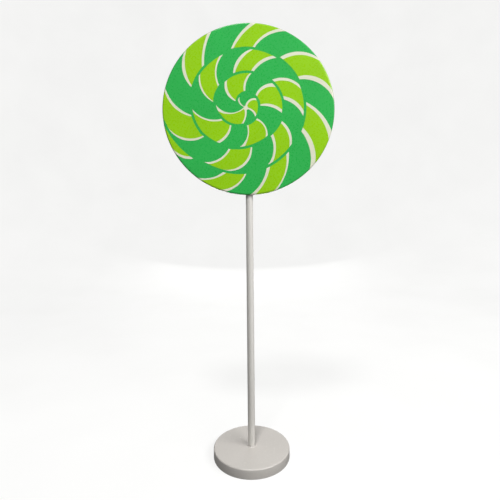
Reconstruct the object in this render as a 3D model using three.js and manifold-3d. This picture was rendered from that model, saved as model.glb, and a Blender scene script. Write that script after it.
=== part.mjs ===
// Giant swirl lollipop display prop: a thick round disc on a straight tube,
// standing on a weighted round base plate.
// Millimetres, +Z up. The swirl face looks along -Y and the origin lies on
// the ground at the middle of the base plate, below the middle of the disc.

import * as THREE from "three";
import { mergeVertices } from "three/addons/utils/BufferGeometryUtils.js";
import Module from "manifold-3d";

// ---- Driving dimensions ----------------------------------------------------

const DISC_DIAMETER = 600;
const DISC_THICKNESS = 40;
const DISC_EDGE_RADIUS = 5;
const DISC_CENTER_HEIGHT = 1212;

const STICK_DIAMETER = 25;
const STICK_DEPTH_IN_DISC = 120;
const STICK_END_CHAMFER = 1;

const BASE_DIAMETER = 265;
const BASE_THICKNESS = 32;
const BASE_TOP_RADIUS = 4.5;
const BASE_BOTTOM_RADIUS = 1.5;
const STICK_DEPTH_IN_BASE = 22;
const FOOT_FILLET = 4; // small cove where the plate rises to the stick
const FOOT_LAND = 0.5; // flat ring at the top of the cove

const FIT_GAP = 0.3; // clearance between touching pieces

const DISC_SEGMENTS = 128;
const STICK_SEGMENTS = 48;
const BASE_SEGMENTS = 96;
const ARC_STEPS = 5;

// ---- Sizes worked out from them --------------------------------------------

const discRadius = DISC_DIAMETER / 2;
const stickRadius = STICK_DIAMETER / 2;
const socketRadius = stickRadius + FIT_GAP;
const baseRadius = BASE_DIAMETER / 2;

const discBottom = DISC_CENTER_HEIGHT - discRadius;
const stickBottom = BASE_THICKNESS - STICK_DEPTH_IN_BASE;
const stickTop = discBottom + STICK_DEPTH_IN_DISC;
const stickLength = stickTop - stickBottom;

// ---- Materials -------------------------------------------------------------

const greenPaint = new THREE.MeshStandardMaterial({ color: 0x31ad52, roughness: 0.45, metalness: 0 });
const tubeCoating = new THREE.MeshStandardMaterial({ color: 0xdedad2, roughness: 0.4, metalness: 0 });
const plateCoating = new THREE.MeshStandardMaterial({ color: 0xd2cec6, roughness: 0.5, metalness: 0 });

// ---- Helpers ---------------------------------------------------------------

const wasm = await Module();
wasm.setup();

/** Points of a circular arc in the (radius, height) plane of a lathe, angles in degrees. */
function arc(centerR, centerH, radius, fromDeg, toDeg) {
  const points = [];
  for (let i = 0; i <= ARC_STEPS; i++) {
    const angle = THREE.MathUtils.degToRad(fromDeg + ((toDeg - fromDeg) * i) / ARC_STEPS);
    points.push([centerR + radius * Math.cos(angle), centerH + radius * Math.sin(angle)]);
  }
  return points;
}

/** A closed solid of revolution about Y; the profile runs from the axis, up the outside, to the axis. */
function latheSolid(profile, segments) {
  const points = profile.map(([r, h]) => new THREE.Vector2(r, h));
  return new THREE.LatheGeometry(points, segments);
}

/** A closed geometry as a manifold-3d solid. */
function toManifold(geometry) {
  const bare = geometry.clone();
  bare.deleteAttribute("normal");
  bare.deleteAttribute("uv");
  const merged = mergeVertices(bare, 1e-3);
  const triVerts = new Uint32Array(merged.index.array);
  const vertProperties = new Float32Array(merged.attributes.position.array);
  return new wasm.Manifold(new wasm.Mesh({ numProp: 3, vertProperties, triVerts }));
}

/** A manifold-3d solid as a BufferGeometry. */
function toGeometry(solid) {
  const mesh = solid.getMesh();
  const geometry = new THREE.BufferGeometry();
  geometry.setAttribute("position", new THREE.BufferAttribute(mesh.vertProperties, 3));
  geometry.setIndex(new THREE.BufferAttribute(mesh.triVerts, 1));
  geometry.computeVertexNormals();
  return geometry;
}

function namedMesh(name, geometry, material) {
  const mesh = new THREE.Mesh(geometry, material);
  mesh.name = name;
  return mesh;
}

// ---- Sub-parts -------------------------------------------------------------

/** The thick round disc, its axis along Y, with a blind socket bored up into its edge. */
function swirlDisc() {
  const half = DISC_THICKNESS / 2;
  const flatRadius = discRadius - DISC_EDGE_RADIUS;
  const profile = [
    [0, -half],
    ...arc(flatRadius, -half + DISC_EDGE_RADIUS, DISC_EDGE_RADIUS, -90, 0),
    ...arc(flatRadius, half - DISC_EDGE_RADIUS, DISC_EDGE_RADIUS, 0, 90),
    [0, half],
  ];
  const blank = toManifold(latheSolid(profile, DISC_SEGMENTS));

  const overrun = 20; // the cutter starts clear below the disc's edge
  const cutterLength = STICK_DEPTH_IN_DISC + FIT_GAP + overrun;
  const cutter = new THREE.CylinderGeometry(socketRadius, socketRadius, cutterLength, STICK_SEGMENTS);
  cutter.rotateX(Math.PI / 2);
  cutter.translate(0, 0, -discRadius - overrun + cutterLength / 2);
  const bored = blank.subtract(toManifold(cutter));

  const mesh = namedMesh("swirl_disc", toGeometry(bored), greenPaint);
  mesh.position.set(0, 0, DISC_CENTER_HEIGHT);
  return mesh;
}

/** The straight round stick, from its socket in the base plate to its socket in the disc. */
function stick() {
  const half = stickLength / 2;
  const profile = [
    [0, -half],
    [stickRadius - STICK_END_CHAMFER, -half],
    [stickRadius, -half + STICK_END_CHAMFER],
    [stickRadius, half - STICK_END_CHAMFER],
    [stickRadius - STICK_END_CHAMFER, half],
    [0, half],
  ];
  const mesh = namedMesh("stick", latheSolid(profile, STICK_SEGMENTS), tubeCoating);
  mesh.rotation.x = Math.PI / 2;
  mesh.position.set(0, 0, stickBottom + half);
  return mesh;
}

/** The round base plate: rounded rim, a blind socket and a small cove at the stick's foot. */
function basePlate() {
  const coveTop = BASE_THICKNESS + FOOT_FILLET;
  const coveCenterR = socketRadius + FOOT_LAND + FOOT_FILLET;
  const socketFloor = stickBottom - FIT_GAP;
  const profile = [
    [0, 0],
    ...arc(baseRadius - BASE_BOTTOM_RADIUS, BASE_BOTTOM_RADIUS, BASE_BOTTOM_RADIUS, -90, 0),
    ...arc(baseRadius - BASE_TOP_RADIUS, BASE_THICKNESS - BASE_TOP_RADIUS, BASE_TOP_RADIUS, 0, 90),
    ...arc(coveCenterR, coveTop, FOOT_FILLET, -90, -180),
    [socketRadius, coveTop],
    [socketRadius, socketFloor],
    [0, socketFloor],
  ];
  const mesh = namedMesh("base_plate", latheSolid(profile, BASE_SEGMENTS), plateCoating);
  mesh.rotation.x = Math.PI / 2;
  return mesh;
}

// ---- The whole prop --------------------------------------------------------

const lollipop = new THREE.Group();
lollipop.add(swirlDisc(), stick(), basePlate());

export default lollipop;
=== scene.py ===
"""Giant swirl lollipop display prop: a disc with a painted rope swirl, a coated stick and a base plate.

Metres, +Z up, the swirl looks along -Y. The origin is on the ground at the middle of the base plate.
"""

from math import asin, atan2, ceil, cos, degrees, pi, radians, sin, sqrt  # noqa: E402

import bmesh  # noqa: E402
import bpy  # noqa: E402
from bpy.props import FloatProperty, FloatVectorProperty, PointerProperty  # noqa: E402
from mathutils import Matrix, Vector  # noqa: E402


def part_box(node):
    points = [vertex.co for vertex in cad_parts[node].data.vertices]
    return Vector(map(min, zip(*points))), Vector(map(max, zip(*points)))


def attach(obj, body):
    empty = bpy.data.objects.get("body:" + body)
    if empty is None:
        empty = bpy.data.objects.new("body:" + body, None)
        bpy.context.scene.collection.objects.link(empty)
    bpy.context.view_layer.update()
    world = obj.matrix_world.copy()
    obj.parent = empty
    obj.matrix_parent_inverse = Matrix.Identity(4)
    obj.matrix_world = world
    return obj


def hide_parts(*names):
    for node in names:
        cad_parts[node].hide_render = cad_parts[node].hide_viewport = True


bl_info = {
    "name": "Swirl Lollipop Display Prop",
    "version": (1, 0, 0),
    "blender": (4, 5, 0),
    "location": "View3D > Sidebar > Lollipop",
    "description": "Builds a giant swirl lollipop prop piece by piece, with its paint and a plain stage",
    "category": "Add Mesh",
}

MM = 0.001

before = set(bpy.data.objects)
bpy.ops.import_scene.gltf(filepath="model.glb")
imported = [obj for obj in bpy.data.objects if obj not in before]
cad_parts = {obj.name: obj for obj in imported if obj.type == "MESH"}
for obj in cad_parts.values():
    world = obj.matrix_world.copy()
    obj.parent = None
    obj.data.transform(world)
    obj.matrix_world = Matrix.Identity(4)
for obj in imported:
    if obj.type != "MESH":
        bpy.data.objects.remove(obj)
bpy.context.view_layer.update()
DISC_LOW, DISC_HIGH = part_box("swirl_disc")
STICK_LOW, STICK_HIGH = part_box("stick")
BASE_LOW, BASE_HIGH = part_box("base_plate")

# ---- The swirl -----------------------------------------------------------------
# The painted rope is one spiral that winds in from the rim to an eye a little beside
# the disc's middle. Angles are in degrees, anticlockwise from +X as one faces the
# swirl, and radii are in millimetres from the eye.

EYE_OFFSET = (-9.5, 2.0)  # the eye, from the disc's middle, in millimetres along X and Z

# The line between one turn of the rope and the next: the angle turned, the radius
# there, and how far the arc to the next point bows outwards for each unit of its chord.
ROPE_LINE = (
    (180.0, 304.0, 0.10),
    (188.0, 290.0, 0.10),
    (237.0, 237.5, 0.21),
    (330.0, 205.0, 0.195),
    (415.0, 208.5, 0.17),
    (486.0, 204.5, 0.21),
    (569.0, 176.5, 0.07),
    (610.0, 148.0, 0.135),
    (689.0, 127.5, 0.26),
    (790.0, 126.5, 0.20),
    (871.0, 116.0, 0.155),
    (916.0, 93.0, 0.155),
    (977.0, 60.0, 0.20),
    (1073.0, 46.0, 0.205),
    (1163.0, 56.5, 0.225),
    (1240.0, 34.5, 0.0),
)

RIM, RIM_TO_ROPE, ROPE, CORE = "rim", "rim to rope", "rope", "core"

# Each stripe is a lime field between two off-white crescents. Its four edges are arcs:
# start of the white, start of the lime, end of the lime, end of the white.
# name: (full turns before it, what its outer end meets, outer angles, inner angles, bows)
STRIPES = {
    "sliver": (
        0,
        RIM,
        (188.5, 188.5, 204.5, 208.5),
        (189.5, 189.5, 220.5, 223.5),
        (0.0, 0.0, 0.14, 0.15),
    ),
    "low_left": (
        0,
        RIM,
        (232.5, 235.0, 249.5, 254.0),
        (250.0, 252.5, 268.5, 270.0),
        (0.115, 0.095, 0.155, 0.12),
    ),
    "low_mid": (
        0,
        RIM,
        (270.5, 274.0, 286.5, 288.5),
        (288.5, 292.0, 310.5, 314.0),
        (0.105, 0.08, 0.115, 0.095),
    ),
    "low_right": (
        0,
        RIM,
        (314.5, 320.0, 338.0, 344.0),
        (336.5, 340.5, 362.0, 365.0),
        (0.115, 0.12, 0.12, 0.10),
    ),
    "right": (
        1,
        RIM,
        (4.0, 10.0, 32.0, 35.5),
        (27.5, 30.5, 52.0, 55.5),
        (0.175, 0.19, 0.15, 0.155),
    ),
    "top": (
        1,
        RIM,
        (63.0, 67.5, 84.0, 87.5),
        (81.0, 83.0, 101.0, 103.5),
        (0.135, 0.12, 0.075, 0.075),
    ),
    "high_left": (
        1,
        RIM,
        (114.5, 117.5, 135.0, 136.0),
        (133.5, 136.5, 157.0, 158.5),
        (0.07, 0.065, 0.115, 0.17),
    ),
    "left": (
        1,
        RIM_TO_ROPE,
        (165.0, 166.5, 194.0, 196.0),
        (187.0, 188.5, 212.5, 214.0),
        (0.12, 0.155, 0.175, 0.20),
    ),
    "second_a": (
        1,
        ROPE,
        (232.0, 236.0, 249.5, 255.0),
        (246.5, 249.0, 276.5, 278.5),
        (0.155, 0.135, 0.225, 0.225),
    ),
    "second_b": (
        1,
        ROPE,
        (291.0, 296.0, 317.5, 321.5),
        (311.0, 316.0, 336.0, 339.5),
        (0.14, 0.105, 0.13, 0.14),
    ),
    "second_c": (
        2,
        ROPE,
        (-8.5, -3.5, 18.0, 23.0),
        (12.0, 17.0, 42.0, 46.5),
        (0.11, 0.125, 0.155, 0.15),
    ),
    "second_d": (
        2,
        ROPE,
        (58.0, 62.0, 82.5, 85.0),
        (77.0, 81.0, 106.5, 109.5),
        (0.105, 0.12, 0.105, 0.155),
    ),
    "second_e": (
        2,
        ROPE,
        (112.5, 116.5, 142.5, 145.0),
        (138.5, 141.5, 168.0, 169.0),
        (0.145, 0.125, 0.14, 0.16),
    ),
    "second_f": (
        2,
        ROPE,
        (181.0, 183.5, 228.5, 232.5),
        (203.5, 207.5, 226.5, 229.5),
        (0.145, 0.145, 0.135, 0.14),
    ),
    "third_a": (
        2,
        ROPE,
        (261.0, 268.0, 303.5, 308.0),
        (273.0, 278.0, 309.5, 317.0),
        (0.165, 0.09, 0.20, 0.15),
    ),
    "third_b": (
        3,
        ROPE,
        (-8.5, -3.5, 34.0, 42.5),
        (8.0, 13.0, 45.0, 52.5),
        (0.10, 0.13, 0.195, 0.155),
    ),
    "third_c": (
        3,
        ROPE,
        (80.0, 82.5, 123.0, 128.5),
        (91.0, 96.0, 142.0, 146.5),
        (0.105, 0.14, 0.15, 0.18),
    ),
    "core_a": (
        3,
        CORE,
        (173.5, 186.5, 254.0, 261.0),
        (170.5, 203.5, 236.0, 291.0),
        (0.235, 0.15, 0.115, 0.075),
    ),
    "core_b": (
        4,
        CORE,
        (-44.0, -32.5, 33.5, 45.0),
        (-27.0, 5.0, 49.0, 98.0),
        (0.13, 0.125, 0.25, 0.20),
    ),
    "core_c": (
        4,
        CORE,
        (119.0, 119.0, 134.0, 134.0),
        (134.0, 134.0, 148.0, 148.0),
        (0.175, 0.175, 0.135, 0.135),
    ),
}
BARE_STRIPES = ("core_c",)  # a lone off-white crescent, with no lime
HALF_STRIPES = ("sliver",)  # the rope's first stripe has its crescent on one side only

FACE_ROWS, EDGE_ROWS, WALL_ROWS = 22, 6, 2


# ---- Settings ------------------------------------------------------------------


class LollipopSizes(bpy.types.PropertyGroup):
    """Real sizes of the prop."""

    disc_diameter: FloatProperty(
        name="Disc diameter",
        description="Across the round disc",
        default=DISC_HIGH.x - DISC_LOW.x,
        min=0.1,
        max=2.0,
        unit="LENGTH",
    )
    disc_thickness: FloatProperty(
        name="Disc thickness",
        description="From the front face to the back",
        default=DISC_HIGH.y - DISC_LOW.y,
        min=0.01,
        max=0.2,
        unit="LENGTH",
    )
    disc_height: FloatProperty(
        name="Disc height",
        description="Height of the disc's middle above the ground",
        default=(DISC_HIGH.z + DISC_LOW.z) / 2,
        min=0.2,
        max=3.0,
        unit="LENGTH",
    )
    disc_edge_radius: FloatProperty(
        name="Disc edge radius",
        description="Rounding between the faces and the rim",
        default=0.005,
        min=0.001,
        max=0.02,
        unit="LENGTH",
    )
    paint_thickness: FloatProperty(
        name="Paint thickness",
        description="How far the lime and off-white paint stands proud of the green",
        default=0.00025,
        min=0.00005,
        max=0.001,
        precision=5,
        unit="LENGTH",
    )
    rope_gap: FloatProperty(
        name="Green line width",
        description="Width of the green line between two turns of the rope",
        default=0.0088,
        min=0.0,
        max=0.02,
        precision=4,
        unit="LENGTH",
    )
    eye_radius: FloatProperty(
        name="Eye radius",
        description="Radius of the off-white dot in the middle of the swirl",
        default=0.008,
        min=0.001,
        max=0.03,
        precision=4,
        unit="LENGTH",
    )
    # painted shade: how dark the paint on the disc's upper rim is made
    rim_shade_tone: FloatProperty(
        name="Rim tone",
        description="Brightness of the dulled paint on the upper rim, against the face",
        default=0.4,
        min=0.0,
        max=1.0,
    )
    stick_diameter: FloatProperty(
        name="Stick diameter",
        description="Across the round stick",
        default=STICK_HIGH.x - STICK_LOW.x,
        min=0.005,
        max=0.1,
        unit="LENGTH",
    )
    fit_gap: FloatProperty(
        name="Fit gap",
        description="Clearance round the stick in its two sockets",
        default=0.0003,
        min=0.0,
        max=0.002,
        precision=4,
        unit="LENGTH",
    )
    base_diameter: FloatProperty(
        name="Base diameter",
        description="Across the round base plate",
        default=BASE_HIGH.x - BASE_LOW.x,
        min=0.1,
        max=1.0,
        unit="LENGTH",
    )
    base_thickness: FloatProperty(
        name="Base thickness",
        description="Height of the base plate's top face",
        default=0.032,
        min=0.005,
        max=0.1,
        unit="LENGTH",
    )
    base_top_radius: FloatProperty(
        name="Base top rounding",
        description="Rounding of the base plate's upper edge",
        default=0.0045,
        min=0.0005,
        max=0.02,
        precision=4,
        unit="LENGTH",
    )
    base_bottom_radius: FloatProperty(
        name="Base bottom rounding",
        description="Rounding of the base plate's lower edge",
        default=0.0015,
        min=0.0005,
        max=0.01,
        precision=4,
        unit="LENGTH",
    )
    foot_fillet: FloatProperty(
        name="Foot cove",
        description="Small cove where the plate rises to the stick",
        default=0.004,
        min=0.0005,
        max=0.02,
        precision=4,
        unit="LENGTH",
    )


class LollipopColours(bpy.types.PropertyGroup):
    """Paint and coating colours, in linear light."""

    green: FloatVectorProperty(
        name="Green",
        description="Ground colour of the disc",
        default=(0.029, 0.460, 0.082),
        min=0.0,
        max=1.0,
        size=3,
        subtype="COLOR",
    )
    lime: FloatVectorProperty(
        name="Lime",
        description="Colour of the stripes",
        default=(0.304, 0.634, 0.006),
        min=0.0,
        max=1.0,
        size=3,
        subtype="COLOR",
    )
    off_white: FloatVectorProperty(
        name="Off-white",
        description="Colour of the crescents and the eye",
        default=(0.765, 0.776, 0.610),
        min=0.0,
        max=1.0,
        size=3,
        subtype="COLOR",
    )
    stick_coat: FloatVectorProperty(
        name="Stick coating",
        description="Powder coat of the stick",
        default=(0.707, 0.687, 0.646),
        min=0.0,
        max=1.0,
        size=3,
        subtype="COLOR",
    )
    base_coat: FloatVectorProperty(
        name="Base coating",
        description="Powder coat of the base plate",
        default=(0.576, 0.547, 0.511),
        min=0.0,
        max=1.0,
        size=3,
        subtype="COLOR",
    )


class LollipopStage(bpy.types.PropertyGroup):
    """The studio: a pale sweep, soft lamps and a camera straight in front."""

    camera_distance: FloatProperty(
        name="Camera distance",
        description="From the stick to the camera, along the ground",
        default=1.3703,
        min=0.3,
        max=10.0,
        unit="LENGTH",
    )
    camera_height: FloatProperty(
        name="Camera height",
        description="Height of the lens",
        default=0.842,
        min=0.0,
        max=3.0,
        unit="LENGTH",
    )
    camera_turn: FloatProperty(
        name="Camera turn",
        description="Turn of the lens to the left",
        default=radians(-0.074),
        subtype="ANGLE",
    )
    camera_pitch: FloatProperty(
        name="Camera pitch",
        description="Tilt of the lens upwards",
        default=radians(0.19),
        subtype="ANGLE",
    )
    camera_roll: FloatProperty(
        name="Camera roll",
        description="Roll of the camera about its lens",
        default=radians(-0.527),
        subtype="ANGLE",
    )
    camera_lens: FloatProperty(
        name="Lens",
        description="Focal length on a 36 mm sensor",
        default=28.0,
        min=10.0,
        max=200.0,
        unit="CAMERA",
    )
    camera_shift: FloatProperty(
        name="Vertical shift",
        description="Rise or fall of the lens, as a share of the frame",
        default=-0.0727,
        min=-0.5,
        max=0.5,
        precision=4,
    )
    floor_colour: FloatVectorProperty(
        name="Floor colour",
        description="Colour of the sweep",
        default=(0.220, 0.220, 0.218),
        min=0.0,
        max=1.0,
        size=3,
        subtype="COLOR",
    )
    sweep_glow: FloatProperty(
        name="Sweep glow",
        description="The sweep's own light, for each unit of its colour",
        default=3.5,
        min=0.0,
        max=9.0,
    )
    room_light: FloatProperty(
        name="Room light",
        description="Strength of the even light all round",
        default=0.168,
        min=0.0,
        max=5.0,
    )
    key_power: FloatProperty(
        name="Key lamp",
        description="Power of the wide soft lamp at the right",
        default=260.0,
        min=0.0,
        max=900.0,
        unit="POWER",
    )
    high_power: FloatProperty(
        name="High lamp",
        description="Power of the lamp high up in front",
        default=208.0,
        min=0.0,
        max=900.0,
        unit="POWER",
    )
    floor_power: FloatProperty(
        name="Floor lamp",
        description="Power of the light that the floor throws back",
        default=9.0,
        min=0.0,
        max=500.0,
        unit="POWER",
    )
    back_power: FloatProperty(
        name="Back lamp",
        description="Power of the high lamp behind the prop",
        default=8.0,
        min=0.0,
        max=500.0,
        unit="POWER",
    )
    rear_power: FloatProperty(
        name="Rear fill",
        description="Power of the low lamp that lights the prop's back",
        default=22.0,
        min=0.0,
        max=500.0,
        unit="POWER",
    )


# ---- Materials -----------------------------------------------------------------

MOTTLE_SHARE = 0.03  # how much of the darker speck colour shows at most
MOTTLE_TONE = 0.72  # the speck colour, against the coating's own
GLOSS_DRIFT = 0.02  # how far the roughness drifts to either side
RIM_GLOSS = 0.3  # the matt rim's specular level, against the face's
PAINT = {"grain_scale": 900.0, "grain_depth": 0.00001, "specular": 0.4}  # alike for the disc's three paints


def new_material(name):
    """A material with a Principled shader, and short ways to add and join nodes."""
    material = bpy.data.materials.new(name)
    material.use_nodes = True
    nodes, links = material.node_tree.nodes, material.node_tree.links
    nodes.clear()
    output = nodes.new("ShaderNodeOutputMaterial")
    output.location = (900, 0)
    shader = nodes.new("ShaderNodeBsdfPrincipled")
    shader.location = (600, 0)
    links.new(shader.outputs["BSDF"], output.inputs["Surface"])
    return material, nodes, links, shader


def noise(nodes, links, coordinates, scale, detail, roughness, location):
    """Noise at a scale in waves per metre."""
    node = nodes.new("ShaderNodeTexNoise")
    node.location = location
    node.inputs["Scale"].default_value = scale
    node.inputs["Detail"].default_value = detail
    node.inputs["Roughness"].default_value = roughness
    links.new(coordinates, node.inputs["Vector"])
    return node.outputs["Fac"]


def spread(nodes, links, value, low, high, location):
    """A noise value, mapped onto the range from low to high."""
    node = nodes.new("ShaderNodeMapRange")
    node.location = location
    node.inputs["From Min"].default_value = 0.3
    node.inputs["From Max"].default_value = 0.7
    node.inputs["To Min"].default_value = low
    node.inputs["To Max"].default_value = high
    links.new(value, node.inputs["Value"])
    return node.outputs["Result"]


def blend_colours(nodes, links, factor, first, second, location):
    """A mix of two colours, or of two sockets."""
    node = nodes.new("ShaderNodeMix")
    node.data_type = "RGBA"
    node.location = location
    links.new(factor, node.inputs["Factor"])
    for socket, value in ((node.inputs[6], first), (node.inputs[7], second)):
        if isinstance(value, bpy.types.NodeSocket):
            links.new(value, socket)
        else:
            socket.default_value = (*value, 1.0)
    return node.outputs[2]


def shade(colour, factor):
    return tuple(min(1.0, c * factor) for c in colour)


def rim_share(nodes, links, coordinates, sizes, location):
    """Two shares, both 0 on the disc's flat face.

    The first is 1 on the whole rim. The second grows from 0 at its foot to 1 on top; it darkens the paint
    there as painted shade.
    """
    centred = nodes.new("ShaderNodeVectorMath")
    centred.operation = "MULTIPLY_ADD"
    centred.location = location
    centred.inputs[1].default_value = (1.0, 0.0, 1.0)
    centred.inputs[2].default_value = (0.0, 0.0, -sizes.disc_height)
    links.new(coordinates, centred.inputs[0])
    length = nodes.new("ShaderNodeVectorMath")
    length.operation = "LENGTH"
    length.location = (location[0] + 180, location[1])
    links.new(centred.outputs["Vector"], length.inputs[0])
    rim, edge = sizes.disc_diameter / 2, sizes.disc_edge_radius
    share = nodes.new("ShaderNodeMapRange")
    share.interpolation_type = "SMOOTHSTEP"
    share.location = (location[0] + 360, location[1])
    share.inputs["From Min"].default_value = rim - edge * 0.7
    share.inputs["From Max"].default_value = rim - edge * 0.2
    links.new(length.outputs["Value"], share.inputs["Value"])
    height = nodes.new("ShaderNodeSeparateXYZ")
    height.location = (location[0] + 180, location[1] + 180)
    links.new(centred.outputs["Vector"], height.inputs["Vector"])
    upper = nodes.new("ShaderNodeMapRange")
    upper.location = (location[0] + 360, location[1] + 250)
    upper.inputs["From Min"].default_value = -rim
    upper.inputs["From Max"].default_value = rim
    links.new(height.outputs["Z"], upper.inputs["Value"])
    # painted shade: the rim share, weighted towards the top, darkens the paint there
    shaded = nodes.new("ShaderNodeMath")
    shaded.operation = "MULTIPLY"
    shaded.location = (location[0] + 540, location[1] + 100)
    links.new(share.outputs["Result"], shaded.inputs[0])
    links.new(upper.outputs["Result"], shaded.inputs[1])
    return share.outputs["Result"], shaded.outputs["Value"]


def coating(name, colour, cloud, roughness, grain_scale, grain_depth, specular, rim_of=None):
    """A painted or powder-coated surface: soft clouds of tone, fine grain and slightly uneven gloss.

    With rim_of, the disc's sizes, the rim is matt and its upper part is darkened as painted shade.
    """
    material, nodes, links, shader = new_material(name)
    place = nodes.new("ShaderNodeTexCoord")
    place.location = (-900, 0)
    at = place.outputs["Object"]
    clouds = noise(nodes, links, at, 7.0, 3.0, 0.55, (-700, 250))
    mottle = noise(nodes, links, at, 160.0, 4.0, 0.6, (-700, 50))
    grain = noise(nodes, links, at, grain_scale, 2.0, 0.5, (-700, -200))
    drift = spread(nodes, links, clouds, 0.0, 1.0, (-500, 250))
    darker, lighter = shade(colour, 1 - cloud), shade(colour, 1 + cloud)
    wide = blend_colours(nodes, links, drift, darker, lighter, (-250, 250))
    specks = spread(nodes, links, mottle, 0.0, MOTTLE_SHARE, (-500, 50))
    close = blend_colours(nodes, links, specks, wide, shade(colour, MOTTLE_TONE), (0, 200))
    if rim_of is not None:
        # painted shade: the upper rim's paint is blended towards a darker copy, more so towards the top
        share, shaded = rim_share(nodes, links, at, rim_of, (-700, 500))
        close = blend_colours(nodes, links, shaded, close, shade(colour, rim_of.rim_shade_tone), (250, 300))
    links.new(close, shader.inputs["Base Color"])
    least, most = roughness - GLOSS_DRIFT, roughness + GLOSS_DRIFT
    uneven = spread(nodes, links, mottle, least, most, (-250, 0))
    links.new(uneven, shader.inputs["Roughness"])
    bump = nodes.new("ShaderNodeBump")
    bump.location = (200, -250)
    bump.inputs["Strength"].default_value = 0.35
    bump.inputs["Distance"].default_value = grain_depth
    links.new(grain, bump.inputs["Height"])
    links.new(bump.outputs["Normal"], shader.inputs["Normal"])
    shader.inputs["Specular IOR Level"].default_value = specular
    if rim_of is not None:
        gloss = nodes.new("ShaderNodeMapRange")
        gloss.location = (450, 450)
        gloss.inputs["To Min"].default_value = specular
        gloss.inputs["To Max"].default_value = specular * RIM_GLOSS
        links.new(share, gloss.inputs["Value"])
        links.new(gloss.outputs["Result"], shader.inputs["Specular IOR Level"])
    return material


def sweep_material(colour, glow):
    """Pale studio sweep with a very faint mottle, lit from within so that shadows on it stay light."""
    material, nodes, links, shader = new_material("studio_sweep")
    place = nodes.new("ShaderNodeTexCoord")
    place.location = (-900, 0)
    clouds = noise(nodes, links, place.outputs["Object"], 2.0, 2.0, 0.5, (-700, 0))
    drift = spread(nodes, links, clouds, 0.0, 1.0, (-500, 0))
    tone = blend_colours(nodes, links, drift, shade(colour, 0.985), shade(colour, 1.01), (-250, 0))
    links.new(tone, shader.inputs["Base Color"])
    links.new(tone, shader.inputs["Emission Color"])
    shader.inputs["Emission Strength"].default_value = glow
    shader.inputs["Roughness"].default_value = 0.9
    shader.inputs["Specular IOR Level"].default_value = 0.1
    return material


# ---- Modelling helpers -----------------------------------------------------------


def deselect():
    """Object mode, with nothing selected."""
    if bpy.context.object is not None and bpy.context.object.mode != "OBJECT":
        bpy.ops.object.mode_set(mode="OBJECT")
    bpy.ops.object.select_all(action="DESELECT")


def make_active(piece):
    deselect()
    piece.select_set(True)
    bpy.context.view_layer.objects.active = piece


def name_piece(name):
    piece = bpy.context.object
    piece.name = piece.data.name = name
    return piece


def apply_modifier(piece, kind, **settings):
    """Adds one modifier with these settings and applies it."""
    make_active(piece)
    modifier = piece.modifiers.new(kind.title(), kind)
    for key, value in settings.items():
        setattr(modifier, key, value)
    bpy.ops.object.modifier_apply(modifier=modifier.name)


def smooth(piece, angle=32.0):
    make_active(piece)
    bpy.ops.object.shade_smooth_by_angle(angle=radians(angle))


def round_corner(centre_r, centre_h, radius, start, end, steps):
    """Points of an arc in a turned body's profile, angles in degrees."""
    angles = [radians(start + (end - start) * i / steps) for i in range(steps + 1)]
    return [(centre_r + radius * cos(angle), centre_h + radius * sin(angle)) for angle in angles]


def turn_body(name, profile, axis, place, steps):
    """A body of revolution.

    The profile is a line of (radius, along the axis). It starts and ends on the axis if the body is closed.
    """
    deselect()
    bpy.ops.mesh.primitive_circle_add(vertices=len(profile), radius=1.0, fill_type="NOTHING")
    piece = name_piece(name)
    across = Vector((1, 0, 0))
    for vertex, (radius, along) in zip(piece.data.vertices, profile):
        vertex.co = across * radius + Vector(axis) * along
    bpy.ops.object.mode_set(mode="EDIT")
    bpy.ops.mesh.select_mode(type="EDGE")
    bpy.ops.mesh.select_all(action="DESELECT")
    mesh = bmesh.from_edit_mesh(piece.data)
    for edge in mesh.edges:  # the edge that closes the circle is no part of the profile
        edge.select_set({v.index for v in edge.verts} == {0, len(profile) - 1})
    bmesh.update_edit_mesh(piece.data)
    bpy.ops.mesh.delete(type="EDGE")
    bpy.ops.mesh.select_mode(type="VERT")
    bpy.ops.mesh.select_all(action="SELECT")
    bpy.ops.mesh.spin(steps=steps, angle=2 * pi, center=(0, 0, 0), axis=axis)
    bpy.ops.mesh.select_all(action="SELECT")
    bpy.ops.mesh.remove_doubles(threshold=1e-6)
    bpy.ops.mesh.normals_make_consistent(inside=False)
    bpy.ops.transform.translate(value=place)
    bpy.ops.object.mode_set(mode="OBJECT")
    return piece


def join(name, pieces):
    deselect()
    for piece in pieces:
        piece.select_set(True)
    bpy.context.view_layer.objects.active = pieces[0]
    if len(pieces) > 1:
        bpy.ops.object.join()
    return name_piece(name)


def finish_piece(piece, material, slot, *nodes):
    """Gives a piece its finish and its place in the part."""
    piece.data.materials.clear()
    piece.data.materials.append(material)
    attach(piece, "root")
    if nodes:
        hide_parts(*nodes)


# ---- Geometry of the swirl ---------------------------------------------------------


def polar(angle, radius):
    return Vector((radius * cos(radians(angle)), radius * sin(radians(angle))))


def point_on_arc(start, end, bow, share):
    """The point at that share of an arc from start to end, which bows to the right of its chord."""
    chord = end - start
    length = chord.length
    if length < 1e-9 or abs(bow) < 1e-4:
        return start + chord * share
    right = Vector((chord.y, -chord.x)) / length
    rise = bow * length
    radius = (length * length / 4 + rise * rise) / (2 * rise)
    centre = (start + end) / 2 + right * (rise - radius)
    half = asin(min(1.0, length / 2 / radius))
    if rise > radius:
        half = pi - half
    middle = atan2(right.y, right.x)
    first = atan2(start.y - centre.y, start.x - centre.x)
    sweep = half if (middle - first) % (2 * pi) < pi else -half
    angle = first + 2 * sweep * share
    return centre + Vector((cos(angle), sin(angle))) * radius


def rope_samples():
    """The rope line as close points of (turned angle, radius)."""
    samples = []
    for (a0, r0, bow), (a1, r1, _) in zip(ROPE_LINE, ROPE_LINE[1:]):
        for i in range(30):
            point = point_on_arc(polar(a0, r0), polar(a1, r1), bow, i / 30)
            angle = degrees(atan2(point.y, point.x))
            angle += 360 * round((a0 + (a1 - a0) * i / 30 - angle) / 360)
            samples.append((angle, point.length))
    samples.append(ROPE_LINE[-1][:2])
    return samples


ROPE_SAMPLES = rope_samples()


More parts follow.
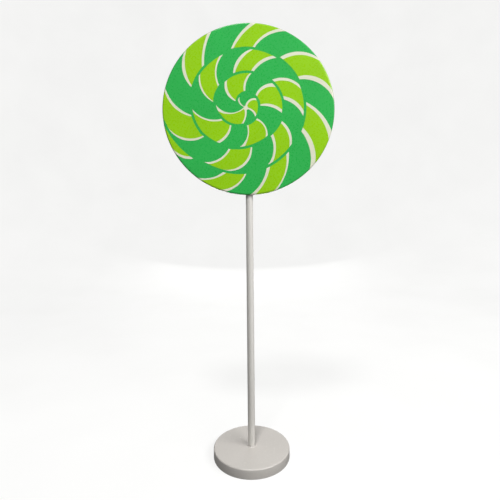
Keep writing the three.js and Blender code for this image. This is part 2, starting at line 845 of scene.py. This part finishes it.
def rope_radius(turned):
    """Radius of the rope line at an angle turned, in millimetres."""
    for (a0, r0), (a1, r1) in zip(ROPE_SAMPLES, ROPE_SAMPLES[1:]):
        if turned <= a1:
            return r0 + (r1 - r0) * max(0.0, (turned - a0) / (a1 - a0))
    return ROPE_SAMPLES[-1][1]


class Swirl:
    """Where the stripes' edges run on a disc of these sizes.

    Millimetres, in the plane of the face, from the disc's middle.
    """

    def __init__(self, sizes):
        self.rim = sizes.disc_diameter / 2 / MM
        self.half = sizes.disc_thickness / 2 / MM
        self.edge = sizes.disc_edge_radius / MM
        self.gap = sizes.rope_gap / MM
        self.eye_radius = sizes.eye_radius / MM
        self.height = sizes.disc_height
        self.eye = Vector(EYE_OFFSET)

    def rim_point(self, angle):
        return polar(angle, self.rim)

    def rope_point(self, turned, side):
        """On the rope line, half the green line's width outside (+1) or inside (-1) it."""
        return self.eye + polar(turned, rope_radius(turned) + side * self.gap / 2)

    def rim_crossing(self, side):
        """The angle turned at which that side of the green line reaches the rim."""
        low, high = 181.0, 230.0
        for _ in range(50):
            middle = (low + high) / 2
            if self.rope_point(middle, side).length > self.rim:
                low = middle
            else:
                high = middle
        return high

    def on_surface(self, point):
        """A point of the face's plane, laid on the disc's front and its rounded edge."""
        radius = point.length
        over = max(0.0, min(self.edge, radius - (self.rim - self.edge)))
        depth = -(self.half - self.edge) - sqrt(self.edge**2 - over**2)
        return Vector((point.x * MM, depth * MM, self.height + point.y * MM))

    def column(self, outer, inner, bow, reaches_rim, wraps):
        """The points of one line along a stripe, from its inner end outwards and over the disc's edge."""
        flat = self.rim - self.edge
        share = 0.0
        if reaches_rim and outer.length > flat:
            low, high = 0.0, 1.0
            for _ in range(40):
                share = (low + high) / 2
                if point_on_arc(outer, inner, bow, share).length > flat:
                    low = share
                else:
                    high = share
        elif reaches_rim:
            share = 0.02
        places = [1 - (1 - share) * i / FACE_ROWS for i in range(FACE_ROWS + 1)]
        points = [self.on_surface(point_on_arc(outer, inner, bow, place)) for place in places]
        if reaches_rim:
            for i in range(1, EDGE_ROWS + 1):  # even steps round the edge, so close together near the rim
                done = sin(pi / 2 * i / EDGE_ROWS)
                points.append(self.on_surface(point_on_arc(outer, inner, bow, share * (1 - done))))
        if wraps:
            for i in range(1, WALL_ROWS + 1):
                depth = -(self.half - self.edge) * (1 - i / WALL_ROWS)
                points.append(Vector((outer.x * MM, depth * MM, self.height + outer.y * MM)))
        return points

    def fields(self, name, first, last):
        """The grids of points of the field between two of a stripe's edges."""
        turns, kind, outer, inner, bows = STRIPES[name]
        parts = [(0.0, 1.0, kind)]
        if kind == RIM_TO_ROPE:
            corner = self.rim_crossing(-1)
            split = (corner - outer[first]) / (outer[last] - outer[first])
            if split >= 1:
                parts = [(0.0, 1.0, RIM)]
            elif split <= 0:
                parts = [(0.0, 1.0, ROPE)]
            else:
                parts = [(0.0, split, RIM), (split, 1.0, RIM_TO_ROPE)]
        for start, end, meets in parts:
            width = (outer[last] - outer[first]) * (end - start)
            count = max(3, ceil(abs(width) / 2.0))
            columns = []
            for i in range(count + 1):
                u = start + (end - start) * i / count
                a_out = outer[first] + (outer[last] - outer[first]) * u
                a_in = inner[first] + (inner[last] - inner[first]) * u
                bow = bows[first] + (bows[last] - bows[first]) * u
                if kind == CORE:
                    point_in = self.eye + polar(a_in, self.eye_radius)
                else:
                    point_in = self.rope_point(a_in + 360 * turns, +1)
                if meets == RIM:
                    point_out = self.rim_point(a_out)
                    if kind == RIM_TO_ROPE and i == count and end < 1:
                        point_out = self.rope_point(corner, -1)
                elif meets == RIM_TO_ROPE:
                    point_out = self.rope_point(a_out, -1)
                else:
                    point_out = self.rope_point(a_out + 360 * (turns - 1), -1)
                if name in HALF_STRIPES and first == 1 and i == 0:
                    point_out = point_in = self.rope_point(self.rim_crossing(+1), +1)
                reaches_rim = meets in (RIM, RIM_TO_ROPE)
                columns.append(self.column(point_out, point_in, bow, reaches_rim, meets == RIM))
            yield columns


FILM_SHARE = 1.4  # the film's whole thickness, part of it sunk into the disc, against the paint's
FILM_OFFSET = 0.45  # where the film lies on the surface: 1 is all outside it, -1 all inside


def painted_field(columns):
    """One field of paint as a grid of faces, turned to look out of the disc's front."""
    wide, high = len(columns) - 1, len(columns[0]) - 1
    deselect()
    bpy.ops.mesh.primitive_grid_add(x_subdivisions=wide, y_subdivisions=high, size=2.0)
    piece = bpy.context.object
    for vertex in piece.data.vertices:
        i, j = round((vertex.co.x + 1) / 2 * wide), round((vertex.co.y + 1) / 2 * high)
        vertex.co = columns[i][j]
    piece.data.update()
    facing = sum((face.normal * face.area for face in piece.data.polygons), Vector())
    if facing.y > 0:
        bpy.ops.object.mode_set(mode="EDIT")
        bpy.ops.mesh.select_all(action="SELECT")
        bpy.ops.mesh.flip_normals()
        bpy.ops.object.mode_set(mode="OBJECT")
    return piece


def paint_both_sides(name, fields, thickness):
    """Joins fields of paint, mirrors them to the back of the disc and gives them the paint's thickness."""
    piece = join(name, fields)
    bpy.ops.object.mode_set(mode="EDIT")
    bpy.ops.mesh.select_all(action="SELECT")
    bpy.ops.mesh.remove_doubles(threshold=2e-6)
    bpy.ops.mesh.dissolve_degenerate(threshold=1e-6)
    bpy.ops.object.mode_set(mode="OBJECT")
    apply_modifier(
        piece,
        "MIRROR",
        use_axis=(False, True, False),
        use_mirror_merge=True,
        merge_threshold=1e-5,
    )
    apply_modifier(piece, "SOLIDIFY", thickness=thickness * FILM_SHARE, offset=FILM_OFFSET)
    smooth(piece, 40.0)
    return piece


# ---- Operators -------------------------------------------------------------------


class LOLLIPOP_OT_disc(bpy.types.Operator):
    """The thick round disc with rounded edges, painted green, with a blind socket for the stick."""

    bl_idname = "lollipop.disc"
    bl_label = "Disc"

    def execute(self, context):
        sizes, colours = context.scene.lollipop_sizes, context.scene.lollipop_colours
        rim, half, edge = sizes.disc_diameter / 2, sizes.disc_thickness / 2, sizes.disc_edge_radius
        flat = rim - edge
        profile = [
            (0, -half),
            (flat * 0.5, -half),
            (flat - 0.001, -half),
            *round_corner(flat, -half + edge, edge, -90, 0, 8),
            *round_corner(flat, half - edge, edge, 0, 90, 8),
            (flat - 0.001, half),
            (flat * 0.5, half),
            (0, half),
        ]
        piece = turn_body("disc", profile, (0, 1, 0), (0, 0, sizes.disc_height), 256)
        deselect()
        top, bottom = STICK_HIGH.z + sizes.fit_gap, sizes.disc_height - rim - 0.02
        bpy.ops.mesh.primitive_cylinder_add(
            vertices=64,
            radius=sizes.stick_diameter / 2 + sizes.fit_gap,
            depth=top - bottom,
            location=(0, 0, (top + bottom) / 2),
        )
        cutter = bpy.context.object
        apply_modifier(piece, "BOOLEAN", operation="DIFFERENCE", solver="EXACT", object=cutter)
        bpy.data.objects.remove(cutter)
        smooth(piece)
        colour = tuple(colours.green)
        paint = coating("green_paint", colour, cloud=0.035, roughness=0.28, **PAINT, rim_of=sizes)
        finish_piece(piece, paint, "swirl_paint", "swirl_disc")
        return {"FINISHED"}


class LOLLIPOP_OT_lime_stripes(bpy.types.Operator):
    """The lime fields of the rope swirl, wrapped over the disc's edge and repeated on the back."""

    bl_idname = "lollipop.lime_stripes"
    bl_label = "Lime stripes"

    def execute(self, context):
        sizes, colours = context.scene.lollipop_sizes, context.scene.lollipop_colours
        swirl = Swirl(sizes)
        limed = [name for name in STRIPES if name not in BARE_STRIPES]
        fields = [painted_field(columns) for name in limed for columns in swirl.fields(name, 1, 2)]
        piece = paint_both_sides("lime_stripes", fields, sizes.paint_thickness)
        paint = coating("lime_paint", tuple(colours.lime), cloud=0.03, roughness=0.28, **PAINT, rim_of=sizes)
        finish_piece(piece, paint, "swirl_paint")
        return {"FINISHED"}


class LOLLIPOP_OT_white_crescents(bpy.types.Operator):
    """The off-white crescents beside the lime fields, and the eye of the swirl."""

    bl_idname = "lollipop.white_crescents"
    bl_label = "Off-white crescents"

    def execute(self, context):
        sizes, colours = context.scene.lollipop_sizes, context.scene.lollipop_colours
        swirl = Swirl(sizes)
        fields = []
        for name in STRIPES:
            sides = ((0, 1), (2, 3))
            if name in BARE_STRIPES:
                sides = ((1, 2),)
            elif name in HALF_STRIPES:
                sides = ((2, 3),)
            for first, last in sides:
                fields += [painted_field(columns) for columns in swirl.fields(name, first, last)]
        deselect()
        overlap = 1.03  # the eye runs a little over the crescents' inner ends
        bpy.ops.mesh.primitive_circle_add(
            vertices=48,
            radius=sizes.eye_radius * overlap,
            fill_type="TRIFAN",
            rotation=(pi / 2, 0, 0),
        )
        eye = bpy.context.object
        eye.location = swirl.on_surface(swirl.eye)
        bpy.ops.object.transform_apply(location=True, rotation=True, scale=True)
        fields.append(eye)
        piece = paint_both_sides("white_crescents", fields, sizes.paint_thickness)
        colour = tuple(colours.off_white)
        paint = coating("off_white_paint", colour, cloud=0.02, roughness=0.30, **PAINT, rim_of=sizes)
        finish_piece(piece, paint, "swirl_paint")
        return {"FINISHED"}


class LOLLIPOP_OT_stick(bpy.types.Operator):
    """The straight round stick, coated off-white, from its socket in the base to its socket in the disc."""

    bl_idname = "lollipop.stick"
    bl_label = "Stick"

    def execute(self, context):
        sizes, colours = context.scene.lollipop_sizes, context.scene.lollipop_colours
        radius, chamfer = sizes.stick_diameter / 2, 0.001
        low, high = STICK_LOW.z, STICK_HIGH.z
        profile = [
            (0, low),
            *round_corner(radius - chamfer, low + chamfer, chamfer, -90, 0, 4),
            *round_corner(radius - chamfer, high - chamfer, chamfer, 0, 90, 4),
            (0, high),
        ]
        piece = turn_body("stick_tube", profile, (0, 0, 1), (0, 0, 0), 96)
        smooth(piece)
        coat = coating(
            "stick_coat",
            tuple(colours.stick_coat),
            cloud=0.015,
            roughness=0.30,
            grain_scale=1400.0,
            grain_depth=0.000015,
            specular=0.5,
        )
        finish_piece(piece, coat, "stick_coating", "stick")
        return {"FINISHED"}


class LOLLIPOP_OT_base(bpy.types.Operator):
    """The round base plate with its rounded rim, its socket and the small cove at the stick's foot."""

    bl_idname = "lollipop.base"
    bl_label = "Base plate"

    def execute(self, context):
        sizes, colours = context.scene.lollipop_sizes, context.scene.lollipop_colours
        outer, top = sizes.base_diameter / 2, sizes.base_thickness
        lower, upper, cove = sizes.base_bottom_radius, sizes.base_top_radius, sizes.foot_fillet
        socket = sizes.stick_diameter / 2 + sizes.fit_gap
        land = 0.0005  # flat ring at the top of the cove
        cove_r = socket + land + cove
        floor = STICK_LOW.z - sizes.fit_gap
        flat_edge = 0.0005  # a narrow flat ring beside each rounding keeps its shading crisp
        profile = [
            (0, 0),
            (outer - lower - flat_edge, 0),
            *round_corner(outer - lower, lower, lower, -90, 0, 5),
            *round_corner(outer - upper, top - upper, upper, 0, 90, 10),
            (outer - upper - flat_edge, top),
            (cove_r + flat_edge, top),
            *round_corner(cove_r, top + cove, cove, -90, -180, 8),
            (socket, top + cove),
            (socket, floor),
            (0, floor),
        ]
        piece = turn_body("base", profile, (0, 0, 1), (0, 0, 0), 192)
        smooth(piece)
        coat = coating(
            "base_coat",
            tuple(colours.base_coat),
            cloud=0.02,
            roughness=0.26,
            grain_scale=1100.0,
            grain_depth=0.000012,
            specular=0.5,
        )
        finish_piece(piece, coat, "plate_coating", "base_plate")
        return {"FINISHED"}


def lamp(name, place, target, power, width, height):
    """A rectangular soft lamp at a place, aimed at a target."""
    data = bpy.data.lights.new(name, "AREA")
    data.shape = "RECTANGLE"
    data.size, data.size_y = width, height
    data.energy = power
    light = bpy.data.objects.new(name, data)
    bpy.context.scene.collection.objects.link(light)
    light.location = place
    light.rotation_euler = (Vector(target) - Vector(place)).to_track_quat("-Z", "Y").to_euler()
    light.visible_camera = False


class LOLLIPOP_OT_stage(bpy.types.Operator):
    """A pale studio sweep, soft lamps and the camera in front of the prop."""

    bl_idname = "lollipop.stage"
    bl_label = "Stage"

    def execute(self, context):
        stage = context.scene.lollipop_stage
        floor_r, curve, wall = 3.0, 2.0, 5.0
        profile = [
            (0, 0),
            (1.0, 0),
            *round_corner(floor_r, curve, curve, -90, 0, 16),
            (floor_r + curve, wall),
        ]
        sweep = turn_body("sweep", profile, (0, 0, 1), (0, 0, 0), 96)
        smooth(sweep, 60.0)
        sweep.data.materials.append(sweep_material(tuple(stage.floor_colour), stage.sweep_glow))
        sweep.visible_diffuse = False  # the sweep throws no light on the prop: the floor lamp does that
        sweep.visible_glossy = False

        world = bpy.data.worlds.new("studio_room")
        world.use_nodes = True
        background = world.node_tree.nodes["Background"]
        background.inputs["Color"].default_value = (1.0, 1.0, 1.0, 1.0)
        background.inputs["Strength"].default_value = stage.room_light
        context.scene.world = world
        context.scene.view_settings.view_transform = "Standard"

        lamp("key_lamp", (3.5, -2.7, 3.8), (0, 0, 0.8), stage.key_power, 4.2, 1.8)
        lamp("high_lamp", (-0.65, -2.8, 6.1), (0, 0, 0.4), stage.high_power, 1.0, 0.9)
        lamp("floor_lamp", (1.5, -1.0, 0.03), (1.5, -1.0, 3.0), stage.floor_power, 2.0, 2.0)
        lamp("back_lamp", (0.4, 2.6, 2.8), (0, 0, 0.9), stage.back_power, 1.6, 1.0)
        lamp("rear_fill", (0.0, 3.8, 0.75), (0, 0, 1.0), stage.rear_power, 2.4, 0.8)

        turn, pitch, roll = stage.camera_turn, stage.camera_pitch, stage.camera_roll
        ahead = Vector((-sin(turn) * cos(pitch), cos(turn) * cos(pitch), sin(pitch)))
        right = Vector((cos(turn), sin(turn), 0))
        up = right.cross(ahead)
        across = right * cos(roll) + up * sin(roll)
        upright = up * cos(roll) - right * sin(roll)
        data = bpy.data.cameras.new("camera")
        data.lens, data.sensor_width, data.shift_y = stage.camera_lens, 36.0, stage.camera_shift
        data.clip_start, data.clip_end = 0.05, 50.0
        camera = bpy.data.objects.new("camera", data)
        context.scene.collection.objects.link(camera)
        camera.rotation_euler = Matrix((across, upright, -ahead)).transposed().to_euler()
        camera.location = (0, -stage.camera_distance, stage.camera_height)
        context.scene.camera = camera
        return {"FINISHED"}


class LOLLIPOP_PT_panel(bpy.types.Panel):
    """Builds the prop piece by piece."""

    bl_idname = "LOLLIPOP_PT_panel"
    bl_label = "Swirl Lollipop"
    bl_space_type = "VIEW_3D"
    bl_region_type = "UI"
    bl_category = "Lollipop"

    def draw(self, context):
        layout = self.layout
        for group in ("lollipop_sizes", "lollipop_colours", "lollipop_stage"):
            settings = getattr(context.scene, group)
            box = layout.box()
            for key in settings.__annotations__:
                box.prop(settings, key)
        for operator in OPERATORS:
            layout.operator(operator.bl_idname)


OPERATORS = (
    LOLLIPOP_OT_disc,
    LOLLIPOP_OT_lime_stripes,
    LOLLIPOP_OT_white_crescents,
    LOLLIPOP_OT_stick,
    LOLLIPOP_OT_base,
    LOLLIPOP_OT_stage,
)
CLASSES = (LollipopSizes, LollipopColours, LollipopStage, *OPERATORS, LOLLIPOP_PT_panel)


def register():
    for cls in CLASSES:
        bpy.utils.register_class(cls)
    bpy.types.Scene.lollipop_sizes = PointerProperty(type=LollipopSizes)
    bpy.types.Scene.lollipop_colours = PointerProperty(type=LollipopColours)
    bpy.types.Scene.lollipop_stage = PointerProperty(type=LollipopStage)


def unregister():
    del bpy.types.Scene.lollipop_stage
    del bpy.types.Scene.lollipop_colours
    del bpy.types.Scene.lollipop_sizes
    for cls in reversed(CLASSES):
        bpy.utils.unregister_class(cls)


def main():
    register()
    bpy.ops.lollipop.disc()
    bpy.ops.lollipop.lime_stripes()
    bpy.ops.lollipop.white_crescents()
    bpy.ops.lollipop.stick()
    bpy.ops.lollipop.base()
    bpy.ops.lollipop.stage()
    deselect()


if __name__ == "__main__":
    main()
